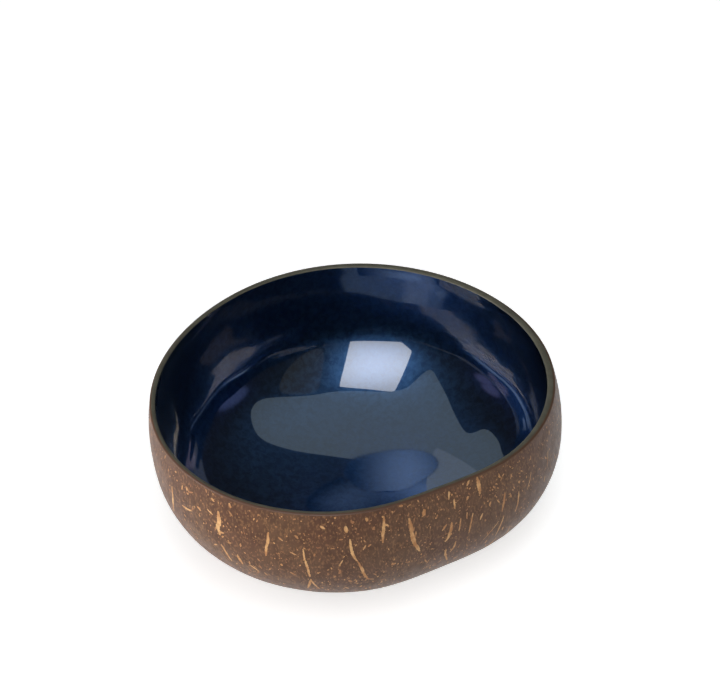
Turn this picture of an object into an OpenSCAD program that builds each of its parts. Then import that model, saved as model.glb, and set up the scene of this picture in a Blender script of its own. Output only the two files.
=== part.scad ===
// Coconut shell bowl: the shell of half a nut, sawn across, sanded smooth and waxed outside,
// with a lacquer film inside and a dark sealed bead along the sawn edge.
// The origin is the middle of the sanded foot, on the table, and +Z is up.

/* [Shell] */
// Mean width of the shell at the belly, its widest level
belly_w = 125.5; // [112:0.5:150]
// Height of the belly above the table
belly_h = 39.5; // [30:0.5:55]
// Mean width of the flat that is sanded under the shell
foot_w = 40; // [24:1:60]
// Where the curve from belly to foot turns, as a share of the way out: 0.71 is an ellipse, 1 a box
fullness_share = 0.755; // [0.71:0.005:0.82]
// Wall of the shell at the belly
wall_t = 1.8; // [1.2:0.1:5]
// Shell that is left under the lowest point of the inside
floor_t = 5.7; // [1.5:0.1:8]
// How much fuller the inside's curve from belly to floor is, added to the share above
inside_fuller_share = 0.025; // [0:0.005:0.05]
// How far the inside lies off the middle, which makes the wall thicker on one side
inside_shift = 0.45; // [0:0.05:1]
// Side where the wall is thickest, in degrees from +X
thick_angle = 15; // [-180:5:180]

/* [Grown form] */
// How far the long way across stands out past a circle, at each end
oval_swell = 4; // [0:0.1:8]
// The long way across, in degrees from +X
oval_angle = 39; // [0:1:180]
// How far the three soft lobes stand out past the oval
lobe_swell = 0.9; // [0:0.1:3]
// Middle of the first lobe, in degrees from +X
lobe_angle = -14; // [-60:1:60]
// How far the nut's flat side lies inside the oval
flat_depth = 2.6; // [0:0.1:4]
// Width over which the flat side runs out into the oval
flat_w = 48; // [30:1:80]
// Middle of the flat side, in degrees from +X
flat_angle = -60; // [-180:1:180]
// How far the middle of the rim lies to one side of the middle of the foot
lean = 6; // [0:0.5:12]
// Side that the rim leans to, in degrees from +X
lean_angle = 180; // [-180:5:180]

/* [Rim] */
// Mean height of the rim above the belly
rim_rise = 13.8; // [8:0.2:24]
// How far the rim draws in from the belly, on each side
rim_draw = 1.6; // [0.4:0.1:6]
// How far the saw cut rises and falls from level
rim_tilt = 2.6; // [0:0.1:4]
// Side where the rim is highest, in degrees from +X
tilt_angle = 147; // [-180:1:180]
// Height of the sealed bead on the sawn edge
bead_h = 0.4; // [0.3:0.1:2]

/* [Lacquer] */
// Thickness of the lacquer film
film_t = 0.3; // [0.2:0.05:1]

/* [Hidden] */

// Soft lobes round a nut
lobe_count = 3;
// Points round each ring, and rows of them below the belly, above it and over the bead
segments = 72;
lower_rows = 15;
upper_rows = 5;
bead_rows = 8;
// Lowest ring of the nut before its foot is sanded, as a share of the foot's width
unsanded_share = 0.8;
// Lowest ring of the inside, as a share of the quarter turn from belly to pole
inside_end_share = 0.98;

half_w = belly_w / 2;
rim_h = belly_h + rim_rise;
inside_offset = -inside_shift * [cos(thick_angle), sin(thick_angle)];

// The curves below the belly, outside and inside, are superellipses of these powers
power = ln(1 / 2) / ln(fullness_share);
inside_power = ln(1 / 2) / ln(fullness_share + inside_fuller_share);
// Depth of the nut's own pole under the belly, if it were not sanded
pole_drop = belly_h / pow(1 - pow(foot_w / belly_w, power), 1 / power);
// Height of the whole nut's crown over the belly, if it were not sawn
crown_rise = rim_rise / sqrt(1 - pow(1 - rim_draw / half_w, 2));

// A skin is a surface of the nut: half its width, its depth and its rise from the belly, and its power
outer_skin = [half_w, pole_drop, crown_rise, power];
inner_skin = [half_w - wall_t, belly_h - floor_t, crown_rise - wall_t, inside_power];
film_skin = inner_skin - film_t * [1, 1, 1, 0];

// Turn from belly to pole at which each skin starts
outer_turn = acos(pow(unsanded_share * foot_w / belly_w, power / 2));
inner_turn = 90 * inside_end_share;

// How much of the flat's depth a side of the nut has: all at its middle, fading out over its width
function flat_share(side) = exp(-2 * (1 - cos(side - flat_angle)) * pow(belly_w / flat_w, 2));

// Outline of the nut from above, as a share of a circle
function plan_share(side) =
    let (
        oval = oval_swell * cos(2 * (side - oval_angle)),
        lobes = lobe_swell * cos(lobe_count * (side - lobe_angle)),
        flat = flat_depth * flat_share(side)
    )
    1 + (oval + lobes - flat) / half_w;

// Height of the saw cut
function cut_h(side) = rim_h - bead_h + rim_tilt * cos(side - tilt_angle);

// Point of a skin on one side of the nut, on its leaning axis
function place(side, reach, height, offset) =
    let (out = reach * plan_share(side), leaning = lean * height / rim_h)
    [
        out * cos(side) + leaning * cos(lean_angle) + offset[0],
        out * sin(side) + leaning * sin(lean_angle) + offset[1],
        height
    ];

function sides() = [for (i = [0 : segments - 1]) 360 * i / segments];

// Ring of a skin below the belly, at a turn of 0 at the belly and 90 at the pole
function lower_ring(skin, turn, offset) =
    let (reach = skin[0] * pow(cos(turn), 2 / skin[3]), drop = skin[1] * pow(sin(turn), 2 / skin[3]))
    [for (side = sides()) place(side, reach, belly_h - drop, offset)];

// Ring of a skin above the belly, at a share of the way up to the saw cut
function upper_ring(skin, way_share, offset) =
    [for (side = sides())
        let (rise = way_share * (cut_h(side) - belly_h))
        place(side, skin[0] * sqrt(1 - pow(rise / skin[2], 2)), belly_h + rise, offset)];

// All rings of a skin, from its lowest to the saw cut
function rings_up(skin, start_turn, offset) = [
    for (k = [0 : lower_rows]) lower_ring(skin, start_turn * (1 - k / lower_rows), offset),
    for (k = [1 : upper_rows]) upper_ring(skin, k / upper_rows, offset)
];

function reversed(list) = [for (i = [len(list) - 1 : -1 : 0]) list[i]];

outer_rings = rings_up(outer_skin, outer_turn, [0, 0]);
inner_rings = rings_up(inner_skin, inner_turn, inside_offset);
film_rings = rings_up(film_skin, inner_turn, inside_offset);
outer_cut = outer_rings[lower_rows + upper_rows];
inner_cut = inner_rings[lower_rows + upper_rows];
film_cut = film_rings[lower_rows + upper_rows];

// Half-round rows of the bead, from the outer edge of the cut over to the film's edge
bead_rings = [
    for (k = [1 : bead_rows - 1])
        let (turn = 180 * k / bead_rows, across_share = (1 - cos(turn)) / 2)
        [for (i = [0 : segments - 1])
            outer_cut[i] + across_share * (film_cut[i] - outer_cut[i]) + [0, 0, bead_h * sin(turn)]]
];

// Two triangles between neighbouring rings, split along the shorter diagonal
function patch(points, a, b, c, d) =
    norm(points[a] - points[d]) < norm(points[b] - points[c])
        ? [[a, c, d], [a, d, b]]
        : [[a, c, b], [b, c, d]];

// Solid through a list of rings: closed by flat ends, or by joining the last ring to the first
module loft(rings, loop) {
    points = [for (ring = rings) each ring];
    count = len(rings);
    bands = [for (k = [0 : loop ? count - 1 : count - 2])
        for (i = [0 : segments - 1])
            let (low = k * segments, high = (k + 1) % count * segments, next = (i + 1) % segments)
            each patch(points, low + i, low + next, high + i, high + next)];
    first_end = [for (i = [0 : segments - 1]) i];
    last_end = [for (i = [segments - 1 : -1 : 0]) (count - 1) * segments + i];
    polyhedron(points, loop ? bands : concat(bands, [first_end, last_end]));
}

// Everything below the table, which sanding takes off
module below_table() {
    translate([-belly_w, -belly_w, -belly_w])
        cube([2 * belly_w, 2 * belly_w, belly_w]);
}

module shell() {
    color("#604a39")
        difference() {
            loft(concat(outer_rings, reversed(inner_rings)), false);
            below_table();
        }
}

module lacquer_lining() {
    color("#14233d")
        loft(concat(inner_rings, reversed(film_rings)), false);
}

module rim_edge() {
    color("#57534a")
        loft(concat([outer_cut], bead_rings, [film_cut, inner_cut]), true);
}

shell();
lacquer_lining();
rim_edge();
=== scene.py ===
"""Coconut shell bowl: waxed shell with husk fibres, dark blue metallic lacquer inside, sealed rim."""

import math
import random

import bpy
import numpy as np
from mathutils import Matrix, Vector
from mathutils.bvhtree import BVHTree


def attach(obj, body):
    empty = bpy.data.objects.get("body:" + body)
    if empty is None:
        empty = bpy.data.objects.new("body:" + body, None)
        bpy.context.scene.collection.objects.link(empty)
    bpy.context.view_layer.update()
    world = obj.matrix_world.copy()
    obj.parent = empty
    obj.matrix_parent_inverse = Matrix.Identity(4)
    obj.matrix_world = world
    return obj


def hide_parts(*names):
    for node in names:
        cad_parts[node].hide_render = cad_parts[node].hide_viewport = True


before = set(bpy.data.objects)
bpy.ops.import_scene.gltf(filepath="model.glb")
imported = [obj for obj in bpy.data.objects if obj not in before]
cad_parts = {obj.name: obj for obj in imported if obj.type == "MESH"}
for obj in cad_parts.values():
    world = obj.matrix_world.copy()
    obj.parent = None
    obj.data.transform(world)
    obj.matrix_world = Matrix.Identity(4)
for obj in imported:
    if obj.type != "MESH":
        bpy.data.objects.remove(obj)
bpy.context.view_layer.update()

MM = 0.001

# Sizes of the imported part, in metres and radians, because its skins are drawn again with finer rows
belly_w, belly_h, foot_w = 125.5 * MM, 39.5 * MM, 40 * MM
fullness_share, inside_fuller_share = 0.755, 0.025
wall_t, floor_t, film_t = 1.8 * MM, 5.7 * MM, 0.3 * MM
inside_shift, thick_angle = 0.45 * MM, math.radians(15)
oval_swell, oval_angle = 4 * MM, math.radians(39)
lobe_swell, lobe_angle = 0.9 * MM, math.radians(-14)
flat_depth, flat_w, flat_angle = 2.6 * MM, 48 * MM, math.radians(-60)
lean, lean_angle = 6 * MM, math.radians(180)
rim_rise, rim_draw, bead_h = 13.8 * MM, 1.6 * MM, 0.4 * MM
rim_tilt, tilt_angle = 2.6 * MM, math.radians(147)

half_w = belly_w / 2
rim_h = belly_h + rim_rise
power = math.log(0.5) / math.log(fullness_share)
inside_power = math.log(0.5) / math.log(fullness_share + inside_fuller_share)
pole_drop = belly_h / (1 - (foot_w / belly_w) ** power) ** (1 / power)
crown_rise = rim_rise / math.sqrt(1 - (1 - rim_draw / half_w) ** 2)
inside_offset = (-inside_shift * math.cos(thick_angle), -inside_shift * math.sin(thick_angle))

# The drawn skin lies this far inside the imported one, so that fibres on it stay inside the part's box
skin_inset = 0.10 * MM
outer_skin = (half_w - skin_inset, pole_drop, crown_rise, power)
inner_skin = (half_w - wall_t, belly_h - floor_t, crown_rise - wall_t, inside_power)
film_skin = (*(size - film_t for size in inner_skin[:3]), inside_power)

SIDES = 420
LOWER_ROWS = 84
UPPER_ROWS = 22
BEAD_ROWS = 16
sides = np.arange(SIDES) * 2 * math.pi / SIDES


# Surfaces
def plan_share(side):
    """Outline of the nut from above, as a share of a circle."""
    oval = oval_swell * np.cos(2 * (side - oval_angle))
    lobes = lobe_swell * np.cos(3 * (side - lobe_angle))
    flat = flat_depth * np.exp(-2 * (1 - np.cos(side - flat_angle)) * (belly_w / flat_w) ** 2)
    return 1 + (oval + lobes - flat) / half_w


def cut_height(side):
    """Height of the saw cut."""
    return rim_h - bead_h + rim_tilt * np.cos(side - tilt_angle)


def place(side, reach, height, offset):
    """Points of a skin at some sides of the nut, on its leaning axis."""
    out = reach * plan_share(side)
    leaning = lean * height / rim_h
    x = out * np.cos(side) + leaning * math.cos(lean_angle) + offset[0]
    y = out * np.sin(side) + leaning * math.sin(lean_angle) + offset[1]
    return np.stack([x, y, np.broadcast_to(height, np.shape(x))], -1)


def lower_ring(skin, turn, offset):
    """Ring of a skin below the belly, at a turn of 0 at the belly and a quarter turn at the pole."""
    reach = skin[0] * math.cos(turn) ** (2 / skin[3])
    height = belly_h - skin[1] * math.sin(turn) ** (2 / skin[3])
    return place(sides, reach, np.full(SIDES, height), offset)


def upper_ring(skin, share, offset):
    """Ring of a skin above the belly, at a share of the way up to the saw cut."""
    rise = share * (cut_height(sides) - belly_h)
    return place(sides, skin[0] * np.sqrt(1 - (rise / skin[2]) ** 2), belly_h + rise, offset)


def skin_rings(skin, start_turn, offset=(0.0, 0.0)):
    """All rings of a skin, from its lowest to the saw cut."""
    turns = [start_turn * (1 - k / LOWER_ROWS) for k in range(LOWER_ROWS + 1)]
    rows = [lower_ring(skin, turn, offset) for turn in turns]
    rows += [upper_ring(skin, k / UPPER_ROWS, offset) for k in range(1, UPPER_ROWS + 1)]
    return np.array(rows)


foot_turn = math.asin((belly_h / pole_drop) ** (power / 2))
end_turn = math.radians(89.4)
outer = skin_rings(outer_skin, foot_turn)
inner = skin_rings(inner_skin, end_turn, inside_offset)
film = skin_rings(film_skin, end_turn, inside_offset)


def waves(points, seed, length, height, count=9):
    """Smooth unevenness: a few fixed sine waves of about one length, in fixed directions."""
    rng = np.random.default_rng(seed)
    total = np.zeros(points.shape[:-1])
    for _ in range(count):
        way = rng.normal(size=3)
        way *= 2 * math.pi / (length * rng.uniform(0.75, 1.35)) / np.linalg.norm(way)
        total += np.sin(points @ way + rng.uniform(0, 2 * math.pi))
    return height * total / math.sqrt(count)


def ring_normals(rings):
    """Unit normals of a grid of rings, pointing out of the nut."""
    round_way = np.roll(rings, -1, 1) - np.roll(rings, 1, 1)
    up_way = np.gradient(rings, axis=0)
    normal = np.cross(round_way, up_way)
    return normal / np.maximum(np.linalg.norm(normal, axis=-1, keepdims=True), 1e-12)


def smooth_step(low, high, value):
    t = np.clip((value - low) / (high - low), 0, 1)
    return t * t * (3 - 2 * t)


# A sprayed film is a little uneven, which bends what it mirrors; it is even at its edge, under the bead
film_even = smooth_step(0, 5 * MM, cut_height(sides)[None, :] - film[..., 2])
on_walls = smooth_step(14 * MM, 26 * MM, film[..., 2])
film_runs = on_walls * waves(film, seed=8, length=15 * MM, height=0.05 * MM)
film_wave = waves(film, seed=5, length=36 * MM, height=0.075 * MM) + film_runs
film = film - ring_normals(film) * (film_wave * film_even)[..., None]

# The sanded skin has a soft unevenness too, inwards only
long_wave = waves(outer, seed=21, length=16 * MM, height=0.03 * MM)
short_wave = waves(outer, seed=22, length=6 * MM, height=0.012 * MM)
skin_depth = np.clip(long_wave + short_wave + 0.05 * MM, 0, None)
over_foot = smooth_step(0, 3 * MM, outer[..., 2])
under_cut = smooth_step(0, 3 * MM, cut_height(sides)[None, :] - outer[..., 2])
skin_even = over_foot * under_cut
outer = outer - ring_normals(outer) * (skin_depth * skin_even)[..., None]


# Meshes
def quads(low, high):
    """Faces between two rings, from the number of each ring's first point."""
    steps = [(i, (i + 1) % SIDES) for i in range(SIDES)]
    return [(low + i, low + j, high + j, high + i) for i, j in steps]


def search_tree(rings):
    """Tree for casting rays at an open grid of rings and for finding its nearest points."""
    faces = [face for k in range(len(rings) - 1) for face in quads(k * SIDES, (k + 1) * SIDES)]
    return BVHTree.FromPolygons([tuple(p) for p in rings.reshape(-1, 3)], faces)


def add_values(mesh, label, kind, values):
    """Values at a mesh's points, for its material to read."""
    held = mesh.attributes.new(label, kind, "POINT")
    key = "vector" if kind == "FLOAT_VECTOR" else "value"
    held.data.foreach_set(key, np.asarray(values, np.float32).ravel())


def smooth_object(mesh, sharp_angle):
    """Object of a mesh, shaded smooth but for edges sharper than an angle in degrees."""
    mesh.validate()
    mesh.shade_smooth()
    mesh.set_sharp_from_angle(angle=math.radians(sharp_angle))
    obj = bpy.data.objects.new(mesh.name, mesh)
    bpy.context.scene.collection.objects.link(obj)
    return obj


def grid_mesh(name, rings, loop=False, low_pole=None, high_pole=None, attributes=()):
    """Closed mesh through rings of points: a loop, or ended by a fan to a pole at each end."""
    rings = np.asarray(rings)
    count = len(rings)
    points = rings.reshape(-1, 3).tolist()
    faces, uvs = [], []
    for k in range(count if loop else count - 1):
        faces += quads(k * SIDES, (k + 1) % count * SIDES)
        v, next_v = k / count, (k + 1) / count
        for i in range(SIDES):
            u, next_u = i / SIDES, (i + 1) / SIDES
            uvs += [(u, v), (next_u, v), (next_u, next_v), (u, next_v)]
    for pole, row, flip in ((low_pole, 0, True), (high_pole, count - 1, False)):
        if pole is None:
            continue
        points.append(list(pole))
        for i in range(SIDES):
            a, b = row * SIDES + i, row * SIDES + (i + 1) % SIDES
            u, next_u, v = i / SIDES, (i + 1) / SIDES, row / count
            if flip:
                a, b, u, next_u = b, a, next_u, u
            faces.append((a, b, len(points) - 1))
            uvs += [(u, v), (next_u, v), ((u + next_u) / 2, v)]
    mesh = bpy.data.meshes.new(name)
    mesh.from_pydata(points, [], faces)
    layer = mesh.uv_layers.new(name="UVMap")
    layer.data.foreach_set("uv", np.array(uvs, np.float32).ravel())
    for label, kind, values in attributes:
        values = np.asarray(values, np.float32).reshape(count * SIDES, -1)
        poles = np.repeat(values[-1:], len(points) - len(values), 0)
        add_values(mesh, label, kind, np.vstack([values, poles]))
    return smooth_object(mesh, 40)


def pole_of(rings):
    return rings[0].mean(0)


def grain_of(rings):
    """Coordinates that follow the nut: round it at the belly's width, and along its length."""
    step = np.linalg.norm(np.diff(rings, axis=0), axis=-1)
    along = np.vstack([np.zeros((1, SIDES)), np.cumsum(step, 0)])
    round_x = np.broadcast_to(half_w * np.cos(sides), along.shape)
    round_y = np.broadcast_to(half_w * np.sin(sides), along.shape)
    return np.stack([round_x, round_y, along], -1)


shell_rings = np.concatenate([outer, inner[::-1]])
shell_grain = np.concatenate([grain_of(outer), grain_of(inner)[::-1]])
shell = grid_mesh(
    "coconut_shell", shell_rings,
    low_pole=(0.0, 0.0, 0.0), high_pole=pole_of(inner),
    attributes=[("grain", "FLOAT_VECTOR", shell_grain)],
)

lining = grid_mesh(
    "blue_lacquer", np.concatenate([inner, film[::-1]]),
    low_pole=pole_of(inner), high_pole=pole_of(film),
)

outer_cut, inner_cut, film_cut = outer[-1], inner[-1], film[-1]
# The sealer leaves the outer part of the edge bare, most of all along the front
bare_share = 0.24 + 0.14 * smooth_step(-0.1, 0.7, -np.sin(sides))
bead_rings, bead_sealed = [outer_cut], [np.zeros(SIDES)]
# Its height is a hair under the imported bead's, and varies as handwork does
bead_top = bead_h - 0.004 * MM
hand_work = 1 - 0.06 * (1 + np.sin(7 * sides + 1.0) * np.sin(4 * sides)) / 2
for k in range(1, BEAD_ROWS):
    turn = math.pi * k / BEAD_ROWS
    across = (1 - math.cos(turn)) / 2
    row = outer_cut + across * (film_cut - outer_cut)
    bead_rings.append(row + np.stack([0 * sides, 0 * sides, bead_top * math.sin(turn) * hand_work], -1))
    bead_sealed.append(smooth_step(bare_share - 0.12, bare_share + 0.12, across))
bead_rings += [film_cut, inner_cut]
bead_sealed += [np.ones(SIDES), np.ones(SIDES)]
rim = grid_mesh("sealed_rim", bead_rings, loop=True, attributes=[("sealed", "FLOAT", bead_sealed)])


# Camera, at the photograph's angle; the image is 720 x 695
IMAGE_W, IMAGE_H = 720, 695
LENS, SENSOR = 135.0, 36.0
camera_at = Vector((-3.26 * MM, -651.67 * MM, 576.73 * MM))
camera_tilt = math.radians(51.964)
camera_data = bpy.data.cameras.new("camera")
camera_data.lens, camera_data.sensor_width = LENS, SENSOR
camera_data.clip_start, camera_data.clip_end = 0.01, 100.0
camera = bpy.data.objects.new("camera", camera_data)
camera.location = camera_at
camera.rotation_euler = (camera_tilt, 0.0, 0.0)
bpy.context.scene.collection.objects.link(camera)
bpy.context.scene.camera = camera

pixel_lens = LENS / SENSOR * IMAGE_W
view_up = Vector((0.0, math.cos(camera_tilt), math.sin(camera_tilt)))
view_on = Vector((0.0, math.sin(camera_tilt), -math.cos(camera_tilt)))


def pixel_ray(u, v):
    """Direction in which the camera looks at a pixel of the photograph."""
    right = Vector((1, 0, 0)) * ((u - IMAGE_W / 2) / pixel_lens)
    down = view_up * ((v - IMAGE_H / 2) / pixel_lens)
    return (view_on + right - down).normalized()


def outwards(point, normal):
    """A normal of the skin, turned to point out of the nut."""
    return normal if normal.dot(point - Vector((0, 0, belly_h))) > 0 else -normal


# Husk fibres: closed strips let into the skin, a hair proud of it
skin_tree = search_tree(outer)
PIXELS_DOWN = 14


def on_skin(u, v):
    """The skin's point at a pixel of the photograph, or just below it where the pixel is over the rim."""
    for _ in range(PIXELS_DOWN):
        ray = pixel_ray(u, v)
        point, normal, _, _ = skin_tree.ray_cast(camera_at, ray)
        on_near_side = point is not None and point.y < 0.3 * half_w
        if on_near_side and outwards(point, normal).dot(ray) < 0:
            return point
        v += 1
    return None


# Fibres that the photograph shows on its side: width in millimetres, then pixels from top to bottom
seen_fibres = [
    (0.75, (172, 486), (173, 498), (174, 511)),
    (0.9, (182, 505), (187, 509), (192, 511)),
    (0.8, (197, 506), (201, 511)),
    (0.55, (207, 509), (213, 515)),
    (0.8, (229, 503), (231, 508)),
    (0.55, (186, 486), (187, 491)),
    (1.25, (218, 511), (219, 521), (218, 528), (220, 535)),
    (0.8, (219, 532), (224, 533)),
    (0.8, (221, 544), (226, 552), (232, 561)),
    (0.9, (237, 555), (240, 560), (243, 564)),
    (0.6, (250, 565), (259, 571)),
    (0.85, (268, 532), (268, 541), (266, 549), (266, 556)),
    (0.55, (303, 549), (304, 556), (305, 561)),
    (0.8, (305, 560), (308, 569), (310, 577)),
    (0.7, (311, 579), (308, 588)),
    (0.55, (311, 580), (320, 589)),
    (0.7, (320, 526), (325, 529)),
    (1.0, (345, 526), (347, 533)),
    (0.95, (350, 539), (351, 548), (353, 555), (357, 561)),
    (0.8, (357, 560), (361, 567), (364, 574), (368, 579), (374, 579)),
    (0.9, (384, 516), (384, 526), (383, 534), (383, 543)),
    (0.6, (384, 524), (389, 526)),
    (1.35, (409, 518), (411, 527), (412, 535), (415, 544), (420, 551)),
    (1.3, (424, 509), (424, 516)),
    (1.1, (452, 522), (451, 530), (448, 538), (445, 542)),
    (0.7, (447, 524), (442, 531)),
    (0.75, (456, 541), (454, 547), (450, 552)),
    (0.7, (446, 549), (445, 554), (447, 560)),
    (0.6, (449, 491), (449, 500)),
    (0.6, (454, 499), (455, 509)),
    (0.7, (469, 477), (467, 486)),
    (0.5, (463, 480), (463, 485)),
    (1.2, (477, 476), (479, 485), (480, 494)),
    (0.8, (468, 496), (467, 500)),
    (0.5, (461, 518), (459, 531)),
    (0.5, (467, 512), (467, 519)),
    (0.6, (473, 513), (471, 523), (469, 533)),
    (0.6, (483, 513), (480, 520)),
    (0.85, (505, 492), (504, 502), (502, 512)),
    (0.65, (519, 491), (518, 503), (515, 512)),
    (0.6, (504, 516), (500, 526), (495, 536)),
    (0.4, (499, 521), (491, 531), (483, 540)),
    (0.4, (531, 472), (530, 480), (527, 490)),
    (0.4, (548, 450), (547, 468)),
    (0.55, (549, 430), (549, 435)),
    (0.8, (396, 563), (391, 565)),
    (0.7, (403, 506), (399, 502)),
    (0.5, (366, 545), (363, 550)),
    (0.6, (371, 544), (368, 547)),
    (0.45, (339, 566), (343, 560)),
    (0.5, (283, 541), (278, 537)),
    (0.5, (296, 555), (290, 552)),
    (0.45, (290, 572), (296, 575)),
]

rng = random.Random(11)
strip_points, strip_faces, strip_along = [], [], []
# The photographed widths read narrow, so the strips are this much wider
SEEN_WIDER = 1.3
STATION_GAP = 0.35 * MM
FEWEST_STATIONS, MOST_STATIONS = 6, 26
# Cross-section of a strip: share of its half width aside, and millimetres out of the skin
strip_section = [(-1.0, -0.02), (-0.55, 0.02), (0.0, 0.032), (0.55, 0.02), (1.0, -0.02), (0.0, -0.22)]


def add_strip(path, width):
    """One closed strip along points on the skin: tapered, uneven in width, its top a hair proud."""
    path = [Vector(p) for p in path]
    length = sum((b - a).length for a, b in zip(path, path[1:]))
    count = max(FEWEST_STATIONS, min(MOST_STATIONS, int(length / STATION_GAP)))
    marks = [0.0]
    for a, b in zip(path, path[1:]):
        marks.append(marks[-1] + (b - a).length)
    stations = []
    for s in range(count + 1):
        at = length * s / count
        k = max(i for i in range(len(marks) - 1) if marks[i] <= at + 1e-12)
        share = (at - marks[k]) / max(marks[k + 1] - marks[k], 1e-9)
        stations.append(path[k].lerp(path[k + 1], min(share, 1.0)))
    # Soften the corners of the path
    for _ in range(2):
        between = [
            stations[i] * 0.5 + (stations[i - 1] + stations[i + 1]) * 0.25 for i in range(1, count)
        ]
        stations = [stations[0], *between, stations[-1]]
    jitter = [rng.uniform(0.70, 1.25) for _ in range(count + 3)]
    jitter = [sum(jitter[i:i + 3]) / 3 for i in range(count + 1)]
    sway = [rng.uniform(-0.07, 0.07) * width for _ in range(count + 1)]
    first = len(strip_points)
    blunt = rng.uniform(0.30, 0.55)
    for s, p in enumerate(stations):
        near, normal, _, _ = skin_tree.find_nearest(p)
        normal = outwards(near, normal)
        ahead = (stations[min(s + 1, count)] - stations[max(s - 1, 0)]).normalized()
        aside = normal.cross(ahead).normalized()
        end = math.sin(math.pi * (0.02 + 0.96 * s / count))
        half = width / 2 * jitter[s] * max(end, 0.0) ** blunt
        mid = near + aside * sway[s]
        for reach, lift in strip_section:
            strip_points.append(tuple(mid + aside * (reach * half) + normal * (lift * MM)))
            strip_along.append((s / count * length, reach * half, first * 0.013))
    ring = len(strip_section)
    for s in range(count):
        a, b = first + s * ring, first + (s + 1) * ring
        for i in range(ring):
            j = (i + 1) % ring
            strip_faces.append((a + i, a + j, b + j, b + i))
    strip_faces.append(tuple(first + i for i in reversed(range(ring))))
    strip_faces.append(tuple(first + count * ring + i for i in range(ring)))


for width, *pixels in seen_fibres:
    path = [on_skin(u, v) for u, v in pixels]
    if all(path):
        add_strip(path, SEEN_WIDER * width * MM)

# The same kinds of fibre on the sides that the photograph doesn't show
rows_up = len(outer)
UNSEEN_FIBRES = 300
SPECKS = 4600


def skin_point(side, row):
    """Point of the skin at a side and at a row that may lie between two rings."""
    k = min(max(row, 0.0), rows_up - 1.001)
    low = int(k)
    at = side % (2 * math.pi) / (2 * math.pi) * SIDES
    i = int(at) % SIDES
    j = (i + 1) % SIDES
    t, w = k - low, at - int(at)
    ring_a = outer[low][i] * (1 - w) + outer[low][j] * w
    ring_b = outer[low + 1][i] * (1 - w) + outer[low + 1][j] * w
    return Vector(ring_a * (1 - t) + ring_b * t)


def shown_in_photo(point):
    """Whether a point of the skin faces the camera well, on the near side."""
    normal = point - Vector((0, 0, belly_h))
    normal.z *= 1.6
    return normal.normalized().dot((camera_at - point).normalized()) > 0.12 and point.y < -8 * MM


placed = 0
while placed < UNSEEN_FIBRES:
    side, row = rng.uniform(0, 2 * math.pi), rng.uniform(4, rows_up - 6)
    start = skin_point(side, row)
    if shown_in_photo(start) and start.z > 9 * MM:
        continue
    length = min(11.0, rng.lognormvariate(1.0, 0.6)) * MM
    slant = rng.gauss(0, 0.28)
    path, steps = [start], max(2, int(length / (1.6 * MM)))
    for s in range(steps):
        slant += rng.gauss(0, 0.16)
        step = length / steps
        down = skin_point(side, row - 1) - skin_point(side, row)
        row -= step * math.cos(slant) / max(down.length, 1e-6)
        side += step * math.sin(slant) / half_w
        if row < 3:
            break
        path.append(skin_point(side, row))
    if len(path) < 2:
        continue
    width = rng.uniform(0.45, 0.95) * MM * (1.5 if rng.random() < 0.2 else 1.0)
    add_strip(path, width)
    if length > 5 * MM and rng.random() < 0.25:
        fork = path[len(path) // 2]
        aside = skin_point(side + rng.choice((-1, 1)) * 0.03, row)
        add_strip([fork, fork.lerp(aside, 0.7)], width * 0.7)
    placed += 1

# Ends of fibres that sanding cut across: small specks, each a closed lens let into the skin
speck_points, speck_faces, speck_tone = [], [], []


def add_speck(side, row, length, width, turn, tone):
    """One speck on the skin, turned from the way up the nut."""
    middle = skin_point(side, row)
    near, normal, _, _ = skin_tree.find_nearest(middle)
    normal = outwards(near, normal)
    up = (skin_point(side, row + 1) - skin_point(side, row - 1)).normalized()
    aside = normal.cross(up).normalized()
    first, corners = len(speck_points), 8
    for i in range(corners):
        angle = 2 * math.pi * i / corners
        ragged = rng.uniform(0.72, 1.15)
        x, y = ragged * width / 2 * math.cos(angle), ragged * length / 2 * math.sin(angle)
        across = x * math.cos(turn) - y * math.sin(turn)
        along = x * math.sin(turn) + y * math.cos(turn)
        edge = near + aside * across + up * along
        point, slope, _, _ = skin_tree.find_nearest(edge)
        speck_points.append(tuple(point + outwards(point, slope) * (0.008 * MM)))
    speck_points.append(tuple(near + normal * (0.03 * MM)))
    speck_points.append(tuple(near - normal * (0.14 * MM)))
    speck_tone.extend([tone] * (corners + 2))
    for i in range(corners):
        j = (i + 1) % corners
        speck_faces.append((first + i, first + j, first + corners))
        speck_faces.append((first + j, first + i, first + corners + 1))


def crowd(point):
    """Specks stand in loose crowds."""
    x, y, z = np.array(point) / MM
    first = 0.25 * math.sin(x * 0.21 + z * 0.13)
    second = 0.25 * math.sin(y * 0.19 - x * 0.11 + z * 0.29)
    return 0.5 + first + second


placed = 0
while placed < SPECKS:
    side, row = rng.uniform(0, 2 * math.pi), rng.uniform(3, rows_up - 2)
    row_w = outer[int(row), 0, 0] - outer[int(row), SIDES // 2, 0]
    if rng.random() > row_w / belly_w:
        continue
    if rng.random() > 0.35 + 0.65 * crowd(skin_point(side, row)):
        continue
    kind = rng.random()
    if kind < 0.60:
        length, width = rng.uniform(0.30, 0.65), rng.uniform(0.28, 0.45)
    elif kind < 0.91:
        length, width = rng.uniform(0.60, 1.2), rng.uniform(0.36, 0.62)
    else:
        length, width = rng.uniform(1.1, 2.3), rng.uniform(0.45, 0.8)
    turn = rng.gauss(0, 0.5) if rng.random() < 0.75 else rng.uniform(-1.5, 1.5)
    tone = rng.random() ** (2.0 if kind < 0.60 else 1.2)
    add_speck(side, row, length * MM, width * MM, turn, tone)
    placed += 1


def loose_object(name, points, faces, label, kind, values):
    """Object of many small closed pieces, with one kind of value at their points."""
    mesh = bpy.data.meshes.new(name)
    mesh.from_pydata(points, [], faces)
    add_values(mesh, label, kind, values)
    return smooth_object(mesh, 60)


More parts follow.
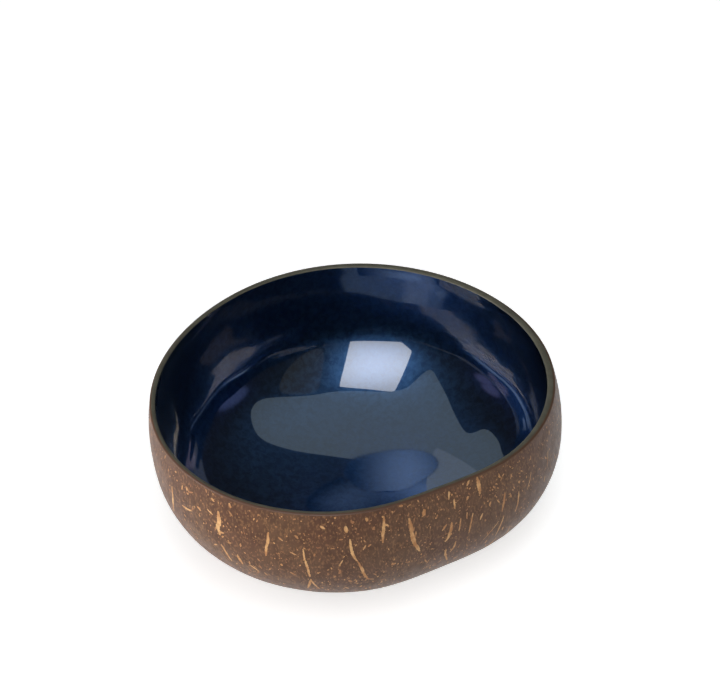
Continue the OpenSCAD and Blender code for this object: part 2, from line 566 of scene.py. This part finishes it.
fibres = loose_object("husk_fibres", strip_points, strip_faces, "along", "FLOAT_VECTOR", strip_along)
specks = loose_object("husk_specks", speck_points, speck_faces, "tone", "FLOAT", speck_tone)


# Materials
def srgb(r, g, b):
    """Colour for a shader's socket, from the 0 to 255 values that a picture shows."""
    def linear(c):
        c /= 255
        return c / 12.92 if c <= 0.04045 else ((c + 0.055) / 1.055) ** 2.4
    return (linear(r), linear(g), linear(b), 1.0)


class Nodes:
    """Short ways to write a material's nodes."""

    def __init__(self, name, world=None):
        self.material = world or bpy.data.materials.new(name)
        self.material.use_nodes = True
        self.tree = self.material.node_tree
        self.shader = self.tree.nodes["Background" if world else "Principled BSDF"]

    def add(self, kind, **settings):
        node = self.tree.nodes.new(kind)
        for key, value in settings.items():
            setattr(node, key, value)
        return node

    def link(self, out, into):
        self.tree.links.new(out, into)

    def value(self, source, socket):
        if hasattr(source, "is_linked"):
            self.link(source, socket)
        else:
            socket.default_value = source

    def attribute(self, name):
        return self.add("ShaderNodeAttribute", attribute_name=name)

    def scaled(self, vector, x, y, z):
        node = self.add("ShaderNodeMapping")
        node.inputs["Scale"].default_value = (x, y, z)
        self.link(vector, node.inputs["Vector"])
        return node.outputs["Vector"]

    def noise(self, vector, scale, detail, rough, distort=0.0):
        node = self.add("ShaderNodeTexNoise")
        self.link(vector, node.inputs["Vector"])
        node.inputs["Scale"].default_value = scale
        node.inputs["Detail"].default_value = detail
        node.inputs["Roughness"].default_value = rough
        node.inputs["Distortion"].default_value = distort
        return node.outputs["Fac"]

    def math(self, operation, a, b=0.0, clamp=False):
        node = self.add("ShaderNodeMath", operation=operation, use_clamp=clamp)
        self.value(a, node.inputs[0])
        self.value(b, node.inputs[1])
        if operation == "COMPARE":
            node.inputs[2].default_value = 0.5
        return node.outputs[0]

    def spread(self, source, from_low, from_high, to_low=0.0, to_high=1.0, smooth=True):
        node = self.add("ShaderNodeMapRange", interpolation_type="SMOOTHSTEP" if smooth else "LINEAR")
        self.link(source, node.inputs["Value"])
        node.inputs["From Min"].default_value = from_low
        node.inputs["From Max"].default_value = from_high
        node.inputs["To Min"].default_value = to_low
        node.inputs["To Max"].default_value = to_high
        return node.outputs["Result"]

    def seen(self, clamp=False):
        """1 for rays that show the thing itself: the camera's, and those off metal or through glass."""
        paths = self.add("ShaderNodeLightPath").outputs
        straight_or_off_metal = self.math("ADD", paths["Is Camera Ray"], paths["Is Glossy Ray"])
        return self.math("ADD", straight_or_off_metal, paths["Is Transmission Ray"], clamp=clamp)

    def bump(self, height, strength, distance):
        node = self.add("ShaderNodeBump")
        node.inputs["Strength"].default_value = strength
        node.inputs["Distance"].default_value = distance
        self.link(height, node.inputs["Height"])
        self.link(node.outputs["Normal"], self.shader.inputs["Normal"])

    def set(self, **numbers):
        for key, number in numbers.items():
            self.shader.inputs[key.replace("_", " ")].default_value = number


def mixed(n, share, a, b):
    """Mix of two colours, each a colour or a socket."""
    node = n.add("ShaderNodeMix", data_type="RGBA")
    n.value(share, node.inputs[0])
    n.value(a, node.inputs[6])
    n.value(b, node.inputs[7])
    return node.outputs[2]


# Shell: dark brown, cloudy, with a fine grain along the nut
n = Nodes("waxed_shell")
place_xyz = n.add("ShaderNodeTexCoord").outputs["Object"]
grain = n.attribute("grain").outputs["Vector"]
long_grain = n.scaled(grain, 1, 1, 0.55)
cloud = n.spread(n.noise(place_xyz, 45, 3, 0.5), 0.36, 0.66)
mottle = n.spread(n.noise(long_grain, 420, 5, 0.62), 0.34, 0.68)
pepper = n.spread(n.noise(long_grain, 1500, 3, 0.55), 0.50, 0.66)
brown = mixed(n, cloud, srgb(84, 53, 34), srgb(92, 64, 43))
brown = mixed(n, n.math("MULTIPLY", mottle, 0.55), brown, srgb(60, 37, 24))
brown = mixed(n, n.math("MULTIPLY", pepper, 0.46), brown, srgb(142, 102, 67))
n.link(brown, n.shader.inputs["Base Color"])
n.link(n.spread(mottle, 0.0, 1.0, 0.46, 0.58, smooth=False), n.shader.inputs["Roughness"])
n.set(IOR=1.46, Specular_IOR_Level=0.25, Coat_Weight=0.14, Coat_Roughness=0.30, Coat_IOR=1.45)
grain_height = n.math("ADD", n.math("MULTIPLY", mottle, 0.6), n.math("MULTIPLY", pepper, 0.4))
n.bump(grain_height, 0.25, 0.08 * MM)
shell.data.materials.append(n.material)

# Husk fibres: tan, streaked along their length
n = Nodes("husk_fibre")
along = n.attribute("along").outputs["Vector"]
streak = n.noise(n.scaled(along, 0.25, 1, 1), 3200, 4, 0.6)
tone = n.noise(along, 240, 3, 0.55)
tan = mixed(n, n.spread(tone, 0.35, 0.65), srgb(164, 111, 64), srgb(206, 162, 109))
tan = mixed(n, n.math("MULTIPLY", n.spread(streak, 0.45, 0.70), 0.45), tan, srgb(138, 94, 58))
n.link(tan, n.shader.inputs["Base Color"])
n.link(n.spread(streak, 0.3, 0.7, 0.55, 0.72, smooth=False), n.shader.inputs["Roughness"])
n.bump(streak, 0.3, 0.05 * MM)
fibres.data.materials.append(n.material)

# Specks: each of one tone, from rust to straw
n = Nodes("husk_speck")
tone = n.attribute("tone").outputs["Fac"]
spot = n.noise(n.add("ShaderNodeTexCoord").outputs["Object"], 2600, 3, 0.6)
rust = mixed(n, tone, srgb(128, 80, 45), srgb(194, 143, 88))
rust = mixed(n, n.math("MULTIPLY", n.spread(spot, 0.45, 0.70), 0.35), rust, srgb(120, 80, 50))
n.link(rust, n.shader.inputs["Base Color"])
n.link(n.spread(spot, 0.3, 0.7, 0.50, 0.66, smooth=False), n.shader.inputs["Roughness"])
specks.data.materials.append(n.material)

# Lacquer: cloudy metallic blue under a clear gloss coat
n = Nodes("blue_metallic_lacquer")
place_xyz = n.add("ShaderNodeTexCoord").outputs["Object"]
shade = n.spread(n.noise(place_xyz, 55, 4, 0.55), 0.34, 0.68)
fleck = n.spread(n.noise(place_xyz, 520, 5, 0.66, 0.6), 0.34, 0.66)
blue = mixed(n, fleck, srgb(36, 64, 101), srgb(50, 82, 122))
blue = mixed(n, n.math("MULTIPLY", shade, 0.35), blue, srgb(35, 63, 100))
n.link(blue, n.shader.inputs["Base Color"])
n.link(n.spread(fleck, 0.0, 1.0, 0.28, 0.35, smooth=False), n.shader.inputs["Roughness"])
n.set(Metallic=1.0, Coat_Weight=1.0, Coat_Roughness=0.02, Coat_IOR=2.1)
lining.data.materials.append(n.material)

# Rim: dark grey-olive sealer, with bare brown shell at its outer edge
n = Nodes("rim_sealer")
place_xyz = n.add("ShaderNodeTexCoord").outputs["Object"]
sealed = n.attribute("sealed").outputs["Fac"]
patch = n.spread(n.noise(place_xyz, 160, 4, 0.6), 0.32, 0.68)
olive = mixed(n, patch, srgb(87, 84, 70), srgb(72, 69, 58))
olive = mixed(n, sealed, srgb(82, 54, 37), olive)
n.link(olive, n.shader.inputs["Base Color"])
n.link(n.spread(patch, 0.0, 1.0, 0.42, 0.56, smooth=False), n.shader.inputs["Roughness"])
n.bump(patch, 0.15, 0.05 * MM)
rim.data.materials.append(n.material)

dressed = ((shell, "shell", "shell"), (lining, "lacquer_lining", "lacquer"), (rim, "rim_edge", "rim"))
for piece, node, slot in dressed:
    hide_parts(node)
    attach(piece, "root")
for piece in (fibres, specks):
    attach(piece, "root")


# Floor, lights and surroundings
def light(name, centre, aim, width, height, radiance):
    """White area light, aimed at a point."""
    data = bpy.data.lights.new(name, "AREA")
    data.shape, data.size, data.size_y = "RECTANGLE", width, height
    data.energy = radiance * math.pi * width * height
    obj = bpy.data.objects.new(name, data)
    obj.location = centre
    obj.rotation_euler = (Vector(aim) - Vector(centre)).to_track_quat("-Z", "Y").to_euler()
    bpy.context.scene.collection.objects.link(obj)
    return obj


# Cards whose outlines are the ones that the lacquer mirrors in the photograph, found back from it
film_tree = search_tree(film)
film_normals = -ring_normals(film)


def film_normal(point, face):
    """The film's smooth normal at a point of one of its faces, into the bowl."""
    k, i = divmod(face, SIDES)
    j = (i + 1) % SIDES
    corner = Vector(film[k, i])
    across, up = Vector(film[k, j]) - corner, Vector(film[k + 1, i]) - corner
    w = min(max((point - corner).dot(across) / across.length_squared, 0.0), 1.0)
    t = min(max((point - corner).dot(up) / up.length_squared, 0.0), 1.0)
    low = film_normals[k, i] * (1 - w) + film_normals[k, j] * w
    high = film_normals[k + 1, i] * (1 - w) + film_normals[k + 1, j] * w
    return Vector(low * (1 - t) + high * t).normalized()


def mirrored(u, v, plane_at, plane_normal):
    """Where the mirror image at a pixel of the lacquer comes from, on a plane outside the bowl."""
    start, ray = camera_at, pixel_ray(u, v)
    for _ in range(4):
        point, _, face, _ = film_tree.ray_cast(start, ray)
        normal = film_normal(point, face)
        if normal.dot(ray) < 0:
            break
        start = point + ray * (0.01 * MM)
    back = ray - normal * (2 * ray.dot(normal))
    return point + back * ((plane_at - point).dot(plane_normal) / back.dot(plane_normal))


def rounded(corners):
    """A closed outline with its corners cut, twice."""
    for _ in range(2):
        ends = zip(corners, corners[1:] + corners[:1])
        corners = [
            (a[0] * k + b[0] * (1 - k), a[1] * k + b[1] * (1 - k)) for a, b in ends for k in (0.75, 0.25)
        ]
    return corners


def outline(pixels, plane):
    """Corners on a plane of the card that the lacquer mirrors at an outline of pixels."""
    return [mirrored(u, v, *plane) for u, v in rounded(pixels)]


def card(name, corners, radiance, tint=(1.0, 1.0, 1.0), bright_at=None, edge_share=1.0, image=1):
    """Glowing card, seen only in one of the lacquer's images; it may fade from its brightest point."""
    mesh = bpy.data.meshes.new(name)
    mesh.from_pydata([tuple(c) for c in corners], [], [tuple(range(len(corners)))])
    n = Nodes(name)
    n.set(Base_Color=(0.0, 0.0, 0.0, 1.0), Specular_IOR_Level=0.0, Emission_Color=(*tint, 1.0))
    glow = None
    if bright_at:
        away = n.add("ShaderNodeVectorMath", operation="DISTANCE")
        away.inputs[1].default_value = bright_at
        n.link(n.add("ShaderNodeTexCoord").outputs["Object"], away.inputs[0])
        reach = max((corner - bright_at).length for corner in corners)
        glow = n.spread(away.outputs["Value"], 0.0, reach, radiance, radiance * edge_share)
    n.value(glow or radiance, n.shader.inputs["Emission Strength"])
    depth = n.add("ShaderNodeLightPath").outputs["Glossy Depth"]
    met = n.math("LESS_THAN", depth, 1.5) if image == 1 else n.math("COMPARE", depth, float(image))
    shown = n.add("ShaderNodeMixShader")
    n.link(met, shown.inputs[0])
    n.link(n.add("ShaderNodeBsdfTransparent").outputs[0], shown.inputs[1])
    n.link(n.shader.outputs[0], shown.inputs[2])
    n.link(shown.outputs[0], n.tree.nodes["Material Output"].inputs["Surface"])
    mesh.materials.append(n.material)
    obj = bpy.data.objects.new(name, mesh)
    obj.visible_camera = False
    bpy.context.scene.collection.objects.link(obj)


# Planes that the cards lie on, each a point and a normal; the wedge hangs just under the overhead card
front_plane = (Vector((0.0, -0.95, 0.91)), Vector((0.0, 0.722, -0.692)))
overhead_plane = (Vector((0.0, 0.0, 1.03)), Vector((0.0, 0.0, -1.0)))
wedge_plane = (Vector((0.0, 0.0, 1.02)), Vector((0.0, 0.0, -1.0)))
softbox_pixels = [
    (351, 338), (352, 338), (380, 338), (399, 340), (411, 350), (412, 352), (404, 372), (395, 391),
    (393, 392), (367, 389), (341, 387), (339, 386), (345, 364),
]
overhead_pixels = [
    (251, 408), (251, 420), (256, 434), (266, 442), (280, 447), (300, 452), (330, 456), (359, 460),
    (400, 464), (436, 462), (462, 472), (492, 482), (510, 468), (502, 454), (499, 440), (486, 427),
    (472, 434), (464, 432), (453, 411), (447, 396), (439, 381), (431, 367), (418, 378), (402, 393),
    (340, 390), (310, 396), (278, 397), (260, 399),
]
wedge_pixels = [
    (436, 448), (438, 448), (456, 457), (475, 469), (492, 482), (456, 492), (428, 498), (426, 486),
    (427, 478), (427, 468), (431, 457),
]
warm_pixels = [
    (277, 393), (284, 372), (300, 356), (318, 347), (325, 352), (322, 375), (318, 393), (298, 395),
]
card(
    "front_softbox", outline(softbox_pixels, front_plane), radiance=3.6,
    bright_at=mirrored(377, 365, *front_plane), edge_share=0.55,
)
card(
    "overhead_card", outline(overhead_pixels, overhead_plane), radiance=0.46, tint=(0.77, 0.94, 1.0),
    bright_at=mirrored(372, 405, *overhead_plane), edge_share=0.85,
)
card("wedge_card", outline(wedge_pixels, wedge_plane), radiance=0.66, tint=(0.74, 0.88, 1.0))
card("warm_card", outline(warm_pixels, overhead_plane), radiance=0.10, tint=(1.0, 0.94, 0.72))

# A round blue card behind the bowl, which the front of the floor mirrors
blue_at, blue_radius, blue_corners = Vector((-0.10, 1.17, 1.04)), 0.19, 24
blue_turns = [2 * math.pi * k / blue_corners for k in range(blue_corners)]
card(
    "blue_card", [blue_at + blue_radius * Vector((math.cos(t), math.sin(t), 0.0)) for t in blue_turns],
    radiance=0.85, tint=(0.36, 0.56, 1.0), bright_at=blue_at, edge_share=0.0,
)


def near_card(name, y, corners, radiance, tint, image, **fade):
    """Card close to the bowl's front, in millimetres, for what the walls mirror more than once."""
    card(name, [Vector((x, y, z)) * MM for x, z in corners], radiance, tint, image=image, **fade)


# Each has a plane of its own, because cards that share one hide each other
front_blue = [(12, 83), (12, 120), (-78, 120), (-78, 83)]
band_end = [
    (12, 101), (-3, 104), (-18, 106), (-30, 112), (-42, 118), (-55, 123), (-62, 150), (-20, 175), (12, 175),
]
side_band = [(6, 70), (-2, 88), (-16, 92), (-30, 94), (-48, 100), (-70, 112), (-85, 112), (-60, 70)]
near_card(
    "front_blue_card", -75, front_blue, radiance=4.8, tint=(0.56, 0.74, 1.0), image=2,
    bright_at=Vector((-44, -75, 98)) * MM, edge_share=0.0,
)
near_card("band_end_card", -77, band_end, radiance=9.0, tint=(1.0, 0.86, 0.76), image=3)
near_card("side_band_card", -79, side_band, radiance=1.9, tint=(1.0, 0.84, 0.78), image=3)
left_fill = light("left_fill", (-1.25, -0.35, 0.22), (0.0, 0.0, 0.03), 0.9, 0.36, 18.0)

# A floor that shows as near white, with the bowl's shadow on it
FLOOR_REACH, FLOOR_GLOW = 12.0, 0.615
floor_data = bpy.data.meshes.new("floor")
floor_corners = [(x * FLOOR_REACH, y * FLOOR_REACH, 0) for x, y in ((-1, -1), (1, -1), (1, 1), (-1, 1))]
floor_data.from_pydata(floor_corners, [], [(0, 1, 2, 3)])
floor = bpy.data.objects.new("floor", floor_data)
floor.location.z = -0.05 * MM
bpy.context.scene.collection.objects.link(floor)
n = Nodes("pale_floor")
n.set(Base_Color=(0.90, 0.90, 0.90, 1.0), Roughness=0.9, Specular_IOR_Level=0.0)
n.set(Emission_Color=(1.0, 1.0, 1.0, 1.0))
n.link(n.math("MULTIPLY", n.seen(clamp=True), FLOOR_GLOW), n.shader.inputs["Emission Strength"])
floor.data.materials.append(n.material)

# A soft light for the floor alone, from the left, casts the bowl's shadow to the right
floor_light = light("floor_light", (-0.85, -0.05, 0.60), (0.0, 0.0, 0.0), 0.4, 0.4, 1.2)
floor_only = bpy.data.collections.new("lit_by_floor_light")
floor_only.objects.link(floor)
floor_light.light_linking.receiver_collection = floor_only

# The fill lights the outside only, so that the lacquer doesn't mirror it
outside = bpy.data.collections.new("lit_by_fill")
for piece in (shell, rim, fibres, specks):
    outside.objects.link(piece)
left_fill.light_linking.receiver_collection = outside

# Surroundings: a white sweep at the horizon that fades to a dim studio above, dimmer on the right
world = bpy.data.worlds.new("studio")
bpy.context.scene.world = world
n = Nodes("studio", world)
toward = n.add("ShaderNodeTexCoord").outputs["Generated"]
split = n.add("ShaderNodeSeparateXYZ")
n.link(toward, split.inputs[0])
sweep = n.spread(split.outputs["Z"], 0.10, 0.20, 1.0, 0.025)
right_side = n.spread(split.outputs["X"], -0.4, 0.5, 1.0, 0.2)
evened = n.math("MAXIMUM", right_side, n.seen(), clamp=True)
n.link(n.math("MULTIPLY", sweep, evened), n.shader.inputs["Strength"])
n.shader.inputs["Color"].default_value = (1.0, 1.0, 1.0, 1.0)


def lobe(azimuth, elevation, full_radius, edge_radius):
    """How much of a soft round light a direction meets; in degrees, azimuth 0 is away and 90 right."""
    a, e = math.radians(azimuth), math.radians(elevation)
    along = n.add("ShaderNodeVectorMath", operation="DOT_PRODUCT")
    n.link(toward, along.inputs[0])
    along.inputs[1].default_value = (math.sin(a) * math.cos(e), math.cos(a) * math.cos(e), math.sin(e))
    edge, full = math.cos(math.radians(edge_radius)), math.cos(math.radians(full_radius))
    return n.spread(along.outputs["Value"], edge, full)


# Soft lights that the walls show: in which image, their radiance and tint, and the lobes that make them up
deep_lights = [
    (2, 1.4, (0.54, 0.73, 1.0), [(174, 33, 5, 8), (185, 34, 5, 8), (197, 31, 5, 8), (209, 28, 4, 7)]),
    (2, 1.0, (0.85, 0.90, 1.0), [(202, 29, 2, 8)]),
    (2, 1.8, (0.95, 0.77, 1.0), [(151, 17, 5, 9), (164, 12, 5, 9)]),
    (2, 2.0, (0.60, 0.66, 1.0), [(206, 49, 4, 8)]),
    (3, 8.0, (1.0, 0.86, 0.72), [(42, 3, 9, 15), (56, 9, 9, 15), (70, 17, 9, 15), (84, 25, 10, 16),
                                 (97, 32, 10, 16), (110, 39, 10, 16), (123, 45, 10, 14)]),
    (3, 3.2, (0.90, 0.90, 1.0), [(222, 50, 6, 12), (250, 56, 6, 12)]),
    (1, 0.42, (0.30, 0.42, 1.0), [(91, 20, 3, 11)]),
    (1, 0.40, (0.44, 0.46, 1.0), [(254, 24, 3, 9), (263, 29, 3, 9)]),
]
surroundings = n.shader.outputs[0]
depth = n.add("ShaderNodeLightPath").outputs["Glossy Depth"]
for image, radiance, tint, lobes in deep_lights:
    met = lobe(*lobes[0])
    for more in lobes[1:]:
        met = n.math("MAXIMUM", met, lobe(*more))
    glow = n.add("ShaderNodeBackground")
    glow.inputs["Color"].default_value = (*tint, 1.0)
    shown = n.math("COMPARE", depth, float(image))
    n.link(n.math("MULTIPLY", n.math("MULTIPLY", met, shown), radiance), glow.inputs["Strength"])
    both = n.add("ShaderNodeAddShader")
    n.link(surroundings, both.inputs[0])
    n.link(glow.outputs[0], both.inputs[1])
    surroundings = both.outputs[0]
n.link(surroundings, n.tree.nodes["World Output"].inputs["Surface"])

bpy.context.scene.view_settings.view_transform = "Standard"
